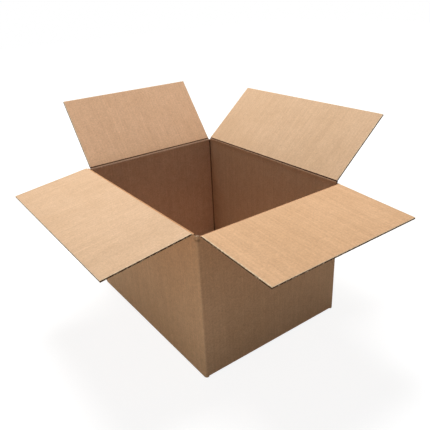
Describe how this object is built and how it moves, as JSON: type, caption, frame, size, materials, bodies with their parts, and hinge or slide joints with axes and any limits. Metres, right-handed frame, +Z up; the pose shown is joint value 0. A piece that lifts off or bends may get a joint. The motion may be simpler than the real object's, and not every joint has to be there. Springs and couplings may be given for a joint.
{
  "type": "open cardboard box",
  "caption": "Plain corrugated cardboard shipping box with a glued shut bottom and hinged top flaps folded open, empty.",
  "frame": {"origin": "centre of the box's underside, on the surface that it stands on", "axes": "+Z up; X across the box's width, Y along its length; the left and right flaps hinge along Y, the front (-Y) and back (+Y) flaps along X"},
  "size_m": [0.677, 0.7582, 0.4647],
  "materials": {
    "kraft_board": "matte kraft liner, uncoated"
  },
  "bodies": {
    "carton": {"box_body": "kraft_board"},
    "left_flap": {"left_flap": "kraft_board"},
    "right_flap": {"right_flap": "kraft_board"},
    "front_flap": {"front_flap": "kraft_board"},
    "back_flap": {"back_flap": "kraft_board"}
  },
  "joints": [
    {"name": "left_flap_hinge", "type": "hinge", "parent": "carton", "child": "left_flap", "pos_m": [-0.18205, 0, 0.32135], "axis": [0, -1, 0], "range_deg": [-187.5, 77.5]},
    {"name": "right_flap_hinge", "type": "hinge", "parent": "carton", "child": "right_flap", "pos_m": [0.18205, 0, 0.32135], "axis": [0, 1, 0], "range_deg": [-139.8, 125.2]},
    {"name": "front_flap_hinge", "type": "hinge", "parent": "carton", "child": "front_flap", "pos_m": [0, -0.23285, 0.31705], "axis": [1, 0, 0], "range_deg": [-184.4, 80.6]},
    {"name": "back_flap_hinge", "type": "hinge", "parent": "carton", "child": "back_flap", "pos_m": [0, 0.23285, 0.31705], "axis": [-1, 0, 0], "range_deg": [-127.3, 137.7]}
  ]
}
